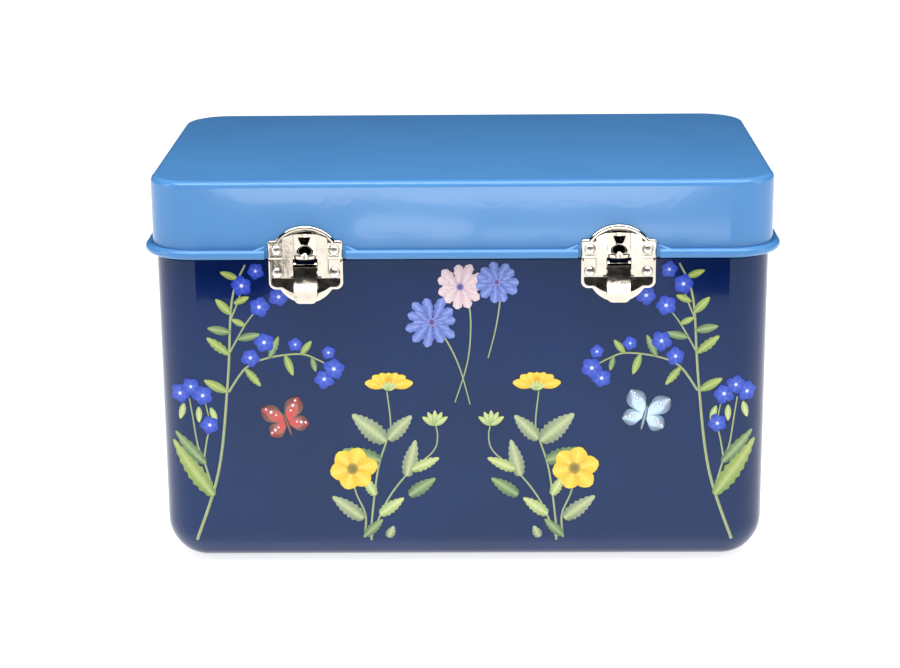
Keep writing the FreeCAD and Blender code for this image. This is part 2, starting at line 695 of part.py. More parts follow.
def make_yoke(side):
    body = new_body(f"latch_yoke_{side}")
    top_arc = ARC_RADIUS.format("yoke_half - yoke_corner", "yoke_top - yoke_shoulder_level")
    frame = sketch_on(body, "frame_face", "XZ_Plane", "yoke_inner_face")
    outline(frame, [
        ("yoke_inner", "yoke_bottom"),
        ("yoke_half", "yoke_bottom"),
        ("yoke_half", "yoke_shoulder_level - yoke_corner", "yoke_corner", 1),
        ("yoke_half - yoke_corner", "yoke_shoulder_level", top_arc, 1),
        ("-(yoke_half - yoke_corner)", "yoke_shoulder_level", "yoke_corner", 1),
        ("-yoke_half", "yoke_shoulder_level - yoke_corner"),
        ("-yoke_half", "yoke_bottom"),
        ("-yoke_inner", "yoke_bottom"),
        ("-yoke_inner", "yoke_arch_level", "yoke_arch_radius", -1),
        ("yoke_inner", "yoke_arch_level"),
    ])
    pad(body, frame, "yoke_sheet")
    bulge_radius = ARC_RADIUS.format("yoke_bulge_half", "yoke_bulge_rise")
    crown_out = "yoke_inner_face + yoke_bulge_rise + yoke_sheet"
    outer_half = ("sqrt((" + bulge_radius + " + yoke_sheet)^2 - (" + bulge_radius
                  + " - yoke_bulge_rise)^2)")
    outer = sketch_on(body, "bulge_outside", "XY_Plane", "yoke_arch_level")
    outline(outer, [
        (f"-({outer_half})", "-yoke_inner_face", f"{bulge_radius} + yoke_sheet", 1),
        (outer_half, "-yoke_inner_face"),
    ])
    pad(body, outer, "yoke_top - yoke_arch_level")
    inner = sketch_on(body, "bulge_inside", "XY_Plane", "yoke_arch_level - 1")
    outline(inner, [
        ("-yoke_bulge_half", "-yoke_inner_face", bulge_radius, 1),
        ("yoke_bulge_half", "-yoke_inner_face"),
    ])
    pocket(body, inner, "yoke_top - yoke_arch_level + 2", reverse=True)
    arch = sketch_on(body, "arch_trim", "XZ_Plane", "yoke_inner_face")
    outline(arch, [
        ("-yoke_inner", "yoke_arch_level - 1"),
        ("yoke_inner", "yoke_arch_level - 1"),
        ("yoke_inner", "yoke_arch_level", "yoke_arch_radius", 1),
        ("-yoke_inner", "yoke_arch_level"),
    ])
    pocket(body, arch, "through", reverse=True)
    crest = sketch_on(body, "crest_trim", "XZ_Plane", "yoke_inner_face")
    outline(crest, [
        ("yoke_half - yoke_corner", "yoke_shoulder_level", top_arc, 1),
        ("-(yoke_half - yoke_corner)", "yoke_shoulder_level"),
        ("-(yoke_half - yoke_corner)", "yoke_top + 1"),
        ("yoke_half - yoke_corner", "yoke_top + 1"),
    ])
    pocket(body, crest, "through", reverse=True)
    groove = sloped_sketch(body, "groove", (crown_out, "groove_bottom"),
                           (f"{crown_out} - groove_depth", "groove_top"), "0")
    rectangle(groove, "-groove_half", "0", "groove_half", "groove_top - groove_bottom")
    pocket(body, groove, "yoke_bulge_rise", reverse=True)
    for hand in (-1, 1):
        inner_side = "yoke_inner" if hand > 0 else "-(yoke_inner + yoke_ear_sheet)"
        ear = sketch_on(body, f"ear_{hand + 1}", "YZ_Plane", inner_side)
        outline(ear, [
            ("-(yoke_inner_face + yoke_sheet / 2)", "yoke_pivot_level + yoke_ear_radius"),
            ("-(yoke_inner_face + yoke_sheet / 2)", "yoke_pivot_level - yoke_ear_radius"),
            ("-yoke_pivot_out", "yoke_pivot_level - yoke_ear_radius",
             "yoke_ear_radius * half_turn_slack", 1),
            ("-yoke_pivot_out", "yoke_pivot_level + yoke_ear_radius"),
        ])
        pad(body, ear, "yoke_ear_sheet")
    side_hole(body, "pivot_hole", "yoke_pivot_out", "yoke_pivot_level",
              "latch_pin_radius + running_clearance")
    put_on_front(body, side)


def make_latch_pin(side, name, out, level, half):
    body = new_body(f"latch_{name}_pin_{side}")
    section = sketch_on(body, "section", "YZ_Plane")
    circle(section, f"-{out}", level, "latch_pin_radius")
    pad(body, section, f"2 * ({half})", midplane=True)
    put_on_front(body, side)


# ---------------------------------------------------------------- hinges

def cut_knuckles(body, owner, level, length, reverse):
    """Take away the other leaf's knuckles.  The body leaf owns the even ones, the lid leaf the
    odd ones."""
    width = f"2 * hinge_half / {KNUCKLES}"
    gaps = sketch_on(body, "knuckle_gaps", "XY_Plane", level)
    for number in range(KNUCKLES):
        if number % 2 != owner:
            rectangle(gaps, f"-hinge_half + {number} * {width} - knuckle_gap",
                      "-(hinge_out + 2 * knuckle_radius)",
                      f"-hinge_half + {number + 1} * {width} + knuckle_gap",
                      f"-({SKIRT_OUT} + hem_thickness / 2)")
    pocket(body, gaps, length, reverse=reverse)


def add_knuckle(body):
    barrel = sketch_on(body, "barrel", "YZ_Plane")
    circle(barrel, "-hinge_out", "hinge_level", "knuckle_radius")
    pad(body, barrel, "2 * hinge_half", midplane=True)


def leaf_corners(level):
    """The two short edges of a leaf's far end."""
    def wanted(edge):
        box = edge.BoundBox
        return (level_edge(level)(edge) and abs(box.XMax - box.XMin) < 1e-4
                and abs(abs(box.XMax) - value("hinge_half")) < 1e-4)
    return wanted


LEAF_IN = SKIRT_OUT + " + hem_thickness"


def make_body_leaf(side):
    body = new_body(f"hinge_body_leaf_{side}")
    profile = sketch_on(body, "side_profile", "YZ_Plane")
    knee = "0.3 * hinge_sheet"
    outline(profile, [
        ("0", "leaf_bottom"),
        ("0", f"leaf_joggle_level + {knee}"),
        (f"-({LEAF_IN})", f"leaf_joggle_level + leaf_joggle_rise + {knee}"),
        (f"-({LEAF_IN})", "hinge_level"),
        (f"-({LEAF_IN} + hinge_sheet)", "hinge_level"),
        (f"-({LEAF_IN} + hinge_sheet)", "leaf_joggle_level + leaf_joggle_rise"),
        ("-hinge_sheet", "leaf_joggle_level"),
        ("-hinge_sheet", "leaf_bottom"),
    ])
    leaf = pad(body, profile, "2 * hinge_half", midplane=True)
    round_edges(body, leaf, "leaf_corner", leaf_corners(value("leaf_bottom")))
    add_knuckle(body)
    cut_knuckles(body, 0, "hinge_level + leaf_cut", "2 * leaf_cut", False)
    side_hole(body, "pin_hole", "hinge_out", "hinge_level", "hinge_pin_radius")
    rivet_seats(body, "leaf_rivet_x", "body_leaf_rivet_level")
    put_on_back(body, side)


def make_lid_leaf(side):
    body = new_body(f"hinge_lid_leaf_{side}")
    profile = sketch_on(body, "side_profile", "YZ_Plane")
    rectangle(profile, f"-({LEAF_IN} + hinge_sheet)", "hinge_level", f"-({LEAF_IN})", "leaf_top")
    leaf = pad(body, profile, "2 * hinge_half", midplane=True)
    round_edges(body, leaf, "leaf_corner", leaf_corners(value("leaf_top")))
    add_knuckle(body)
    cut_knuckles(body, 1, "hinge_level - leaf_cut", "2 * leaf_cut", True)
    side_hole(body, "pin_hole", "hinge_out", "hinge_level",
              "hinge_pin_radius + running_clearance")
    rivet_seats(body, "leaf_rivet_x", "lid_leaf_rivet_level")
    put_on_back(body, side)


def make_hinge_pin(side):
    body = new_body(f"hinge_pin_{side}")
    shaft = sketch_on(body, "shaft", "YZ_Plane")
    circle(shaft, "-hinge_out", "hinge_level", "hinge_pin_radius")
    pad(body, shaft, "2 * (hinge_half + hinge_pin_head_thickness)", midplane=True)
    for hand, place in ((1, "hinge_half"), (-1, "-(hinge_half + hinge_pin_head_thickness)")):
        head = sketch_on(body, f"head_{hand + 1}", "YZ_Plane", place)
        circle(head, "-hinge_out", "hinge_level", "hinge_pin_head")
        pad(body, head, "hinge_pin_head_thickness")
    put_on_back(body, side)


# ---------------------------------------------------------------- rivets

def make_rivet(name, x, wall, seat, inner, level):
    """A dome-headed rivet: its head sits at seat, its tail is clenched inside the wall at inner,
    both measured outward from the body's wall (-1 the front, 1 the back)."""
    head = doc.addObject("Part::Sphere", f"{name}_head")
    ball = "(rivet_head_radius^2 + rivet_head_height^2) / (2 * rivet_head_height)"
    head.setExpression("Radius", sized(ball))
    head.setExpression("Angle1", sized(f"asin(({ball} - rivet_head_height) / ({ball}))"))
    head.setExpression("Placement.Base.z", sized(f"rivet_head_height - {ball}"))
    shank = doc.addObject("Part::Cylinder", f"{name}_shank")
    shank.setExpression("Radius", "Sizes.rivet_radius")
    shank.setExpression("Height", sized(f"({seat}) - ({inner})"))
    shank.setExpression("Placement.Base.z", sized(f"({inner}) - ({seat})"))
    tail = doc.addObject("Part::Cylinder", f"{name}_tail")
    tail.setExpression("Radius", "Sizes.rivet_tail_radius")
    tail.setExpression("Height", "Sizes.rivet_tail_height")
    tail.setExpression("Placement.Base.z", sized(f"({inner}) - ({seat}) - rivet_tail_height"))
    rivet = doc.addObject("Part::MultiFuse", name)
    rivet.Shapes = [head, shank, tail]
    rivet.Placement.Rotation = FreeCAD.Rotation(FreeCAD.Vector(1, 0, 0), -90 * wall)
    rivet.setExpression("Placement.Base.x", sized(x))
    rivet.setExpression("Placement.Base.y", sized(f"{wall} * (body_depth / 2 + {seat})"))
    rivet.setExpression("Placement.Base.z", sized(level))
    return rivet


def make_rivet_group(label, wall, spread, across, seat, inner, level):
    """Two rivets for each of the two fittings along one wall."""
    rivets = []
    for side, place in SIDES.items():
        for hand in (-1, 1):
            rivets.append(make_rivet(f"{label}_{side}_{hand + 1}",
                                     f"{place} * {spread} + {hand} * {across}", wall, seat, inner,
                                     level))
    group = doc.addObject("Part::Compound", label)
    group.Label = label
    group.Links = rivets
    parts.append(group)


make_body_shell()
make_lid_shell()
for name in SIDES:
    make_base_plate(name)
    make_catch_plate(name)
    make_lever(name)
    make_yoke(name)
    make_latch_pin(name, "lever", "pivot_out", "pivot_level", "lever_half + 0.1")
    make_latch_pin(name, "yoke", "yoke_pivot_out", "yoke_pivot_level",
                   "yoke_inner + yoke_ear_sheet")
    make_body_leaf(name)
    make_lid_leaf(name)
    make_hinge_pin(name)
SKIRT_IN = f"{SKIRT_OUT} - sheet"
make_rivet_group("latch_base_rivets", -1, "latch_x", "base_rivet_x", "base_floor", "-sheet",
                 "base_rivet_level")
make_rivet_group("latch_catch_rivets", -1, "latch_x", "catch_rivet_x",
                 f"{SKIRT_OUT} + catch_floor", SKIRT_IN, "catch_rivet_level")
make_rivet_group("hinge_body_rivets", 1, "hinge_x", "leaf_rivet_x", "hinge_sheet", "-sheet",
                 "body_leaf_rivet_level")
make_rivet_group("hinge_lid_rivets", 1, "hinge_x", "leaf_rivet_x",
                 f"{LEAF_IN} + hinge_sheet", SKIRT_IN, "lid_leaf_rivet_level")


# ---------------------------------------------------------------- check and write

doc.recompute()
for item in doc.Objects:
    if any(word in item.State for word in ("Invalid", "Error")):
        raise RuntimeError(f"{item.Name} failed: {item.State}")
os.makedirs("parts", exist_ok=True)
for piece in parts:
    if piece.Shape.isNull() or not piece.Shape.isValid():
        raise RuntimeError(f"{piece.Label} has no valid shape")
    piece.Shape.exportStep(f"parts/{piece.Label}.step")
    print(piece.Label, len(piece.Shape.Solids), round(piece.Shape.Volume, 1))
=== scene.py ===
import math
import random

import bpy
from mathutils import Matrix, Vector


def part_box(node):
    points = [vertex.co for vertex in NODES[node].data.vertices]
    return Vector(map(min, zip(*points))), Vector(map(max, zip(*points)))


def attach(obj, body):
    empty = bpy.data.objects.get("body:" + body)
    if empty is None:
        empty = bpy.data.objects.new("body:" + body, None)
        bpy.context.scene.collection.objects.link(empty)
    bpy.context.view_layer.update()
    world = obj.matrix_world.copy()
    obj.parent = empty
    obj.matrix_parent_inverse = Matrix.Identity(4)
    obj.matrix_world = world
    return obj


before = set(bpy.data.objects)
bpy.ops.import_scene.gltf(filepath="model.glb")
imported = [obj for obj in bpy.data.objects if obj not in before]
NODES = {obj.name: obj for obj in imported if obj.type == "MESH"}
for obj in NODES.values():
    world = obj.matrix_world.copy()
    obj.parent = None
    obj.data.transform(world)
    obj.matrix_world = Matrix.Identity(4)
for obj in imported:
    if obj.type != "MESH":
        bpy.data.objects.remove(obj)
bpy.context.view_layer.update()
MM = 0.001

def link(obj):
    bpy.context.scene.collection.objects.link(obj)
    return obj


# ---------------------------------------------------------------- camera

TILT = math.radians(15.82)
TURN = math.radians(-0.91)
ROLL = math.radians(0.49)
DISTANCE = 1.0553
AIM = Vector((-0.00665, 0.0, 0.08452))
SENSOR_WIDTH = 36.0
LENS = 90.0


def add_camera():
    across = Vector((1, 0, 0))
    upward = Vector((0, math.sin(TILT), math.cos(TILT)))
    turn = Matrix.Rotation(-TURN, 3, "Z")
    right = turn @ (across * math.cos(ROLL) - upward * math.sin(ROLL))
    up = turn @ (across * math.sin(ROLL) + upward * math.cos(ROLL))
    back = right.cross(up)
    place = turn @ (Vector((0, -DISTANCE * math.cos(TILT), DISTANCE * math.sin(TILT)))
                    + Vector((AIM.x, AIM.y, 0)))
    data = bpy.data.cameras.new("camera")
    data.sensor_width = SENSOR_WIDTH
    data.lens = LENS
    data.clip_start, data.clip_end = 0.01, 50
    camera = bpy.data.objects.new("camera", data)
    bpy.context.scene.collection.objects.link(camera)
    rotation = Matrix((right, up, back)).transposed().to_4x4()
    camera.matrix_world = Matrix.Translation(place + Vector((0, 0, AIM.z))) @ rotation
    bpy.context.scene.camera = camera


# ---------------------------------------------------------------- materials

class Nodes:
    """A short way to write a material's node tree."""

    def __init__(self, name):
        self.material = bpy.data.materials.new(name)
        self.material.use_nodes = True
        self.tree = self.material.node_tree
        self.shader = self.tree.nodes["Principled BSDF"]
        coordinates = self.add("ShaderNodeTexCoord")
        self.place = coordinates.outputs["Object"]

    def add(self, kind, inputs=None, **settings):
        node = self.tree.nodes.new(kind)
        for key, setting in settings.items():
            setattr(node, key, setting)
        for key, source in (inputs or {}).items():
            self.feed(node, key, source)
        return node

    def feed(self, node, key, source):
        if isinstance(source, bpy.types.NodeSocket):
            self.tree.links.new(source, node.inputs[key])
        else:
            node.inputs[key].default_value = source

    def noise(self, size, detail=2.0, roughness=0.5, place=None):
        """Noise with features of about this size, in metres."""
        return self.add("ShaderNodeTexNoise", {
            "Vector": place or self.place, "Scale": 1 / size, "Detail": detail,
            "Roughness": roughness}).outputs["Fac"]

    def remap(self, source, low, high, from_low=0.0, from_high=1.0):
        return self.add("ShaderNodeMapRange", {
            "Value": source, "From Min": from_low, "From Max": from_high,
            "To Min": low, "To Max": high}).outputs["Result"]

    def math(self, operation, first, second):
        return self.add("ShaderNodeMath", {0: first, 1: second}, operation=operation).outputs[0]

    def mix(self, share, first, second, blend="MIX"):
        node = self.add("ShaderNodeMix", data_type="RGBA", blend_type=blend)
        self.feed(node, 0, share)
        self.feed(node, 6, first)
        self.feed(node, 7, second)
        return node.outputs[2]

    def bump(self, height, depth, normal=None):
        inputs = {"Height": height, "Distance": depth, "Strength": 1.0}
        if normal:
            inputs["Normal"] = normal
        return self.add("ShaderNodeBump", inputs).outputs["Normal"]

    def set(self, **inputs):
        for key, source in inputs.items():
            self.feed(self.shader, key.replace("_", " "), source)


def colour(red, green, blue):
    """A colour given as it looks on a screen, 0 to 255."""
    def linear(level):
        share = level / 255
        return share / 12.92 if share <= 0.04045 else ((share + 0.055) / 1.055) ** 2.4
    return (linear(red), linear(green), linear(blue), 1.0)


def gloss(m, tone, haze):
    """The gloss of stoved enamel on pressed sheet: orange peel and slow waves of the sheet."""
    m.set(Base_Color=tone, Roughness=m.remap(m.noise(0.0009, 2.0), 0.05, 0.11))
    wave = m.bump(m.noise(0.035, 1.0), 0.00012)
    peel = m.bump(m.noise(0.0032, 2.0, 0.45), 0.000011, wave)
    m.set(Normal=peel, Coat_Normal=peel, Specular_IOR_Level=0.31, Specular_Tint=haze,
          Coat_Weight=0.14, Coat_Roughness=0.03)


def paint(name, base, shade, haze):
    """Enamel that drifts between two tones, with fine darker specks."""
    m = Nodes(name)
    cloud = m.remap(m.noise(0.045, 3.0), 0.0, 1.0, 0.3, 0.7)
    speck = m.remap(m.noise(0.0016, 3.0, 0.6), 0.0, 0.3, 0.4, 0.75)
    gloss(m, m.mix(speck, m.mix(cloud, base, shade), shade), haze)
    return m.material


def nickel(name, base, stain, dullness=0.07):
    """Bright nickel plate over stamped steel: faint polishing lines, pits and dull patches."""
    m = Nodes(name)
    stretched = m.add("ShaderNodeMapping", {"Vector": m.place, "Scale": (1.0, 1.0, 0.12)})
    lines = m.noise(0.0006, 3.0, 0.6, stretched.outputs["Vector"])
    patches = m.remap(m.noise(0.004, 3.0), 0.0, 1.0, 0.45, 0.75)
    m.set(Metallic=1.0, Base_Color=m.mix(patches, base, stain))
    rough = m.math("ADD", m.remap(lines, dullness - 0.03, dullness + 0.03),
                   m.remap(patches, 0.0, 0.03))
    m.set(Roughness=rough)
    dents = m.bump(m.noise(0.0028, 2.0), 0.00002)
    m.set(Normal=m.bump(lines, 0.0000012, dents))
    return m.material


def give(material, names):
    for name in names:
        mesh = NODES[name].data
        mesh.materials.clear()
        mesh.materials.append(material)


def both(name):
    return [f"{name}_left", f"{name}_right"]


NAVY_HAZE = (0.6, 0.86, 1.0, 1)
SKY_HAZE = (0.8, 0.82, 0.85, 1)
navy = paint("navy_enamel", colour(3, 24, 75), colour(1, 18, 65), NAVY_HAZE)
sky = paint("sky_enamel", colour(71, 122, 173), colour(67, 118, 169), SKY_HAZE)
plate = nickel("nickel_plate", (0.66, 0.61, 0.53, 1), (0.56, 0.50, 0.41, 1))
steel = nickel("steel_pin", (0.66, 0.65, 0.63, 1), (0.52, 0.50, 0.47, 1), 0.2)
silver = nickel("rivet_plate", (0.74, 0.73, 0.71, 1), (0.62, 0.60, 0.57, 1), 0.32)
give(navy, ["body_shell"])
give(sky, ["lid_shell"])
for fitting in ("latch_base_plate", "latch_catch_plate", "latch_lever", "latch_yoke",
                "hinge_body_leaf", "hinge_lid_leaf"):
    give(plate, both(fitting))
for pin in ("latch_lever_pin", "latch_yoke_pin", "hinge_pin"):
    give(steel, both(pin))
give(silver, ["latch_base_rivets", "latch_catch_rivets", "hinge_body_rivets",
              "hinge_lid_rivets"])


# ---------------------------------------------------------------- the print on the front

# Millimetres on the wall: x across, z up.  The left half's plants are mirrored on the right.
# Their places follow the tin's own decoration; each motif is drawn from plain petals and discs.
BODY_LOW, BODY_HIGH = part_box("body_shell")
BODY_HALF = BODY_HIGH[0] / MM
WALL = -BODY_LOW[1] / MM
CORNER = 18.4
BOTTOM_CURVE = 18.0
PRINT_TOP = 139.3
PRINT_DEPTH = 0.03
# each patch lies this much above the one before it, so that no two share a surface
LAYER = 0.0007
GREEN_LIFT = 0.13
FLOWER_LIFT = 0.3
# places across a leaf, petal or disc, from edge to edge
ACROSS = (-1, -0.5, 0, 0.5, 1)
DISC_ROWS = 7
LEAF_BEND = 0.25
rng = random.Random(41)


def wall_point(x, z, lift):
    """The point of the body's front at x, z in millimetres, raised outward by lift."""
    z = min(z, PRINT_TOP)
    drop = max(BOTTOM_CURVE - z, 0.0)
    inset = BOTTOM_CURVE - math.sqrt(BOTTOM_CURVE ** 2 - drop ** 2)
    radius = CORNER - inset
    past = min(max(abs(x) - (BODY_HALF - CORNER), 0.0), 0.95 * radius)
    curve = radius - math.sqrt(radius ** 2 - past ** 2)
    normal = Vector((math.copysign(past / radius, x), -math.sqrt(1 - (past / radius) ** 2),
                     -drop / BOTTOM_CURVE)).normalized()
    place = Vector((x, -(WALL - inset - curve), z)) + normal * lift
    return place * MM


def spun(along, across, angle):
    """A point given along and across a direction, turned to that direction."""
    return (along * math.cos(angle) - across * math.sin(angle),
            along * math.sin(angle) + across * math.cos(angle))


def between(first, second, share):
    return tuple(a + (b - a) * share for a, b in zip(first, second))


def smooth_path(points, steps=7):
    """A Catmull-Rom curve through the points."""
    ends = [points[0], *points, points[-1]]
    path = []
    for a, b, c, d in zip(ends, ends[1:], ends[2:], ends[3:]):
        for step in range(steps):
            t = step / steps
            path.append(tuple(
                0.5 * (2 * q + (r - p) * t + (2 * p - 5 * q + 4 * r - s) * t ** 2
                       + (3 * q - p - 3 * r + s) * t ** 3)
                for p, q, r, s in zip(a, b, c, d)))
    path.append(points[-1])
    return path


class Print:
    """Thin patches of enamel gathered into one piece, each point with its own colour."""

    def __init__(self, name, lift):
        self.name = name
        self.lift = lift
        self.points = []
        self.faces = []
        self.colours = []
        self.count = 0

    def patch(self, rows, tones, lift=0.0):
        """A closed patch over a grid of x, z points with a grid of colours."""
        count_rows, count_columns = len(rows), len(rows[0])
        start = len(self.points)
        size = count_rows * count_columns
        self.count += 1
        lift += LAYER * self.count
        for height in (self.lift + lift, -PRINT_DEPTH):
            for row, row_tones in zip(rows, tones):
                for (x, z), tone in zip(row, row_tones):
                    self.points.append(wall_point(x, z, height))
                    self.colours.append(tone)
        # positive where the rows run anticlockwise as seen from in front
        middle = (count_rows - 1) // 2
        origin, beside, above = rows[middle][0], rows[middle][-1], rows[middle + 1][0]
        turn = ((beside[0] - origin[0]) * (above[1] - origin[1])
                - (beside[1] - origin[1]) * (above[0] - origin[0]))
        for r in range(count_rows - 1):
            for c in range(count_columns - 1):
                corner = start + r * count_columns + c
                quad = (corner, corner + 1, corner + count_columns + 1, corner + count_columns)
                lower = tuple(index + size for index in quad)
                self.faces += [quad, lower[::-1]] if turn > 0 else [quad[::-1], lower]
        rim = (list(range(count_columns))
               + [r * count_columns + count_columns - 1 for r in range(1, count_rows)]
               + [size - 2 - c for c in range(count_columns - 1)]
               + [r * count_columns for r in range(count_rows - 2, 0, -1)])
        for here, after in zip(rim, rim[1:] + rim[:1]):
            side = (start + after, start + here, start + here + size, start + after + size)
            self.faces.append(side if turn > 0 else side[::-1])

    def stem(self, points, width, tone, lift=0.0):
        """A stalk through the points, narrower toward its end."""
        path = smooth_path(points)
        rows, tones = [], []
        for number, (x, z) in enumerate(path):
            before, after = path[max(number - 1, 0)], path[min(number + 1, len(path) - 1)]
            angle = math.atan2(after[1] - before[1], after[0] - before[0])
            half = width / 2 * (0.9 - 0.4 * number / len(path))
            row = []
            for side in (-1, 0, 1):
                step = spun(0, side * half, angle)
                row.append((x + step[0], z + step[1]))
            rows.append(row)
            tones.append([between(tone, SHADE, 0.35), tone, between(tone, PALE, 0.25)])
        self.patch(rows, tones, lift)

    def petal(self, base, angle, length, width, tones, fullness=0.8, teeth=0, lift=0.0,
              bend=0.0):
        """A leaf or petal from its base: tones are those of base, tip and midrib."""
        count = 5 + 2 * max(teeth, 2)
        rows, shades = [], []
        for number in range(count):
            u = number / (count - 1)
            half = width / 2 * math.sin(math.pi * (0.04 + 0.93 * u) ** fullness) ** 0.75
            if teeth:
                half *= 1.0 if number % 2 else 0.78
            way = angle + bend * u
            middle = spun(length * u, bend * length * u * 0.3, angle)
            row, shade = [], []
            for side in ACROSS:
                step = spun(0, side * half, way)
                row.append((base[0] + middle[0] + step[0], base[1] + middle[1] + step[1]))
                flank = between(tones[0], tones[1], u)
                shade.append(between(flank, tones[2], 0.85 * (1 - abs(side)) ** 2))
            rows.append(row)
            shades.append(shade)
        self.patch(rows, shades, lift)

    def disc(self, middle, radius, tone, rim, lift=0.0):
        """A round dot, tone in the middle and rim at its edge."""
        rows, tones = [], []
        for number in range(DISC_ROWS):
            u = -math.cos(math.pi * (0.06 + 0.88 * number / (DISC_ROWS - 1)))
            half = math.sqrt(1 - u ** 2)
            rows.append([(middle[0] + side * half * radius, middle[1] + u * radius)
                         for side in ACROSS])
            tones.append([between(tone, rim, min(1.0, math.hypot(u, side * half)) ** 3)
                          for side in ACROSS])
        self.patch(rows, tones, lift)

    def flower(self, middle, radius, count, tones, heart, start=0.0, spread=0.95):
        """Petals around a heart, each a little different in angle and length."""
        for number in range(count):
            angle = start + 2 * math.pi * number / count + rng.uniform(-0.06, 0.06)
            length = radius * rng.uniform(0.92, 1.06)
            self.petal(middle, angle, length, spread * 2 * math.pi * radius / count * 0.72,
                       tones, fullness=1.5, lift=0.012 * (number % 2))
        self.disc(middle, radius * 0.2, heart[0], heart[1], 0.04)

    def finish(self):
        """Make the piece, which moves with the box."""
        mesh = bpy.data.meshes.new(self.name)
        mesh.from_pydata(self.points, [], self.faces)
        layer = mesh.color_attributes.new("tone", "FLOAT_COLOR", "POINT")
        for place, tone in zip(layer.data, self.colours):
            place.color = tone
        mesh.materials.append(print_enamel)
        piece = link(bpy.data.objects.new(self.name, mesh))
        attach(piece, "box")


# colours of the print
PALE = colour(205, 218, 185)
SHADE = colour(70, 88, 72)
STEM = colour(146, 154, 106)
LEAF = (colour(104, 130, 58), colour(142, 158, 78), colour(176, 184, 116))
DARK_LEAF = (colour(66, 92, 62), colour(112, 134, 84), colour(156, 172, 118))
GREY_LEAF = (colour(104, 116, 92), colour(150, 160, 128), colour(186, 194, 140))
SEPAL = (colour(128, 150, 84), colour(176, 186, 116), colour(200, 206, 150))
BLUE = (colour(92, 110, 206), colour(18, 40, 146), colour(46, 70, 180))
BLUE_HEART = (colour(214, 220, 244), colour(104, 122, 214))
YELLOW = (colour(208, 150, 30), colour(224, 192, 48), colour(224, 202, 88))
YELLOW_HEART = (colour(112, 104, 42), colour(190, 150, 50))
CORN_BLUE = (colour(62, 66, 142), colour(98, 116, 188), colour(134, 150, 206))
CORN_PINK = (colour(176, 138, 156), colour(206, 184, 188), colour(214, 198, 200))
CORN_HEART = (colour(70, 60, 120), colour(150, 140, 196))

SIDE_STEMS = (
    ([(-118.7, 11.7), (-107.7, 45), (-102.3, 86.5), (-99.3, 122.5), (-93.2, 138.1)], 1.5),
    ([(-102.1, 81), (-94.3, 91.9), (-84.5, 96.4), (-70.6, 98.1), (-62.8, 95.4), (-57, 92)], 1.1),
    ([(-101, 99), (-96, 108), (-92.5, 113.5), (-88, 119)], 0.9),
    ([(-100.6, 113), (-97.5, 120), (-95, 127)], 0.9),
    ([(-110.6, 35.7), (-114.2, 49.7), (-116.6, 56.7), (-118.4, 70), (-119.5, 78)], 1.0),
    ([(-114.2, 49.7), (-112.5, 59), (-111, 66), (-112.5, 76)], 0.9),
    ([(-44, 13), (-43.4, 23.7), (-47, 33), (-49, 40)], 1.1),
    ([(-41, 11.5), (-40.8, 20), (-37.6, 44.8), (-33.1, 59.8), (-31.7, 66.5), (-33.1, 81)], 1.1),
    ([(-41, 13), (-34, 30), (-24.6, 43), (-13.5, 53), (-11.2, 60), (-12.3, 67)], 1.0),
)
MIDDLE_STEMS = (
    ([(-12.7, 110), (-7.6, 105), (-1.5, 92), (3.1, 75)], 0.9),
    ([(-0.9, 127), (3.3, 117), (2.4, 96), (-3.5, 76)], 0.9),
    ([(14.6, 132), (16.3, 124), (14.5, 110), (11, 96)], 0.9),
)
# base, direction in degrees, length, width, how full the outline is, teeth, colours
SIDE_LEAVES = (
    ((-110.5, 33), 121, 30, 8.5, 0.8, 6, LEAF),
    ((-113.5, 48), 129, 19, 6, 0.8, 4, DARK_LEAF),
    ((-103, 81), 147, 11, 4.2, 0.9, 0, LEAF),
    ((-101.5, 98), 137, 12, 4.6, 0.9, 3, LEAF),
    ((-100.5, 108), 165, 10, 4, 0.9, 0, DARK_LEAF),
    ((-99.8, 116), 130, 9.5, 3.8, 0.9, 0, LEAF),
    ((-98.5, 121), 20, 7, 3, 0.9, 0, LEAF),
    ((-97.5, 105), 8, 10, 3.6, 0.9, 0, DARK_LEAF),
    ((-94, 111), 150, 6.5, 2.8, 0.9, 0, LEAF),
    ((-94.5, 91.5), 305, 10, 3.8, 0.9, 3, LEAF),
    ((-84, 96.4), 62, 10.5, 3.8, 0.9, 3, DARK_LEAF),
    ((-77, 97.5), 285, 9.5, 3.4, 0.9, 0, LEAF),
    ((-70.2, 98), 48, 7.5, 3, 0.9, 0, LEAF),
    ((-65.5, 96.5), 280, 6.5, 2.6, 0.9, 0, DARK_LEAF),
    ((-96.5, 132), 155, 8, 3.2, 0.9, 0, LEAF),
    ((-122, 75.5), 250, 7.5, 3, 0.9, 0, SEPAL),
    ((-115.5, 74.3), 265, 7, 2.8, 0.9, 0, SEPAL),
    ((-110.3, 73.9), 285, 7, 2.8, 0.9, 0, SEPAL),
    ((-34, 58), 135, 19, 9.5, 0.7, 6, GREY_LEAF),
    ((-36.5, 49), 158, 17, 8, 0.7, 5, DARK_LEAF),
    ((-33, 59), 42, 15, 7.5, 0.7, 5, GREY_LEAF),
    ((-25, 42), 72, 17, 7, 0.7, 5, GREY_LEAF),
    ((-22.6, 45), 20, 13, 5.5, 0.7, 4, SEPAL),
    ((-24, 33), 30, 14, 6.5, 0.7, 4, DARK_LEAF),
    ((-39, 33), 115, 10, 5, 0.7, 4, SEPAL),
    ((-44.4, 22), 138, 17, 7.5, 0.7, 5, GREY_LEAF),
    ((-43.8, 14), 40, 11, 5, 0.7, 4, DARK_LEAF),
    ((-37, 24), 32, 13, 6, 0.7, 4, SEPAL),
    ((-33.5, 13), 62, 6, 4.5, 0.7, 2, GREY_LEAF),
)
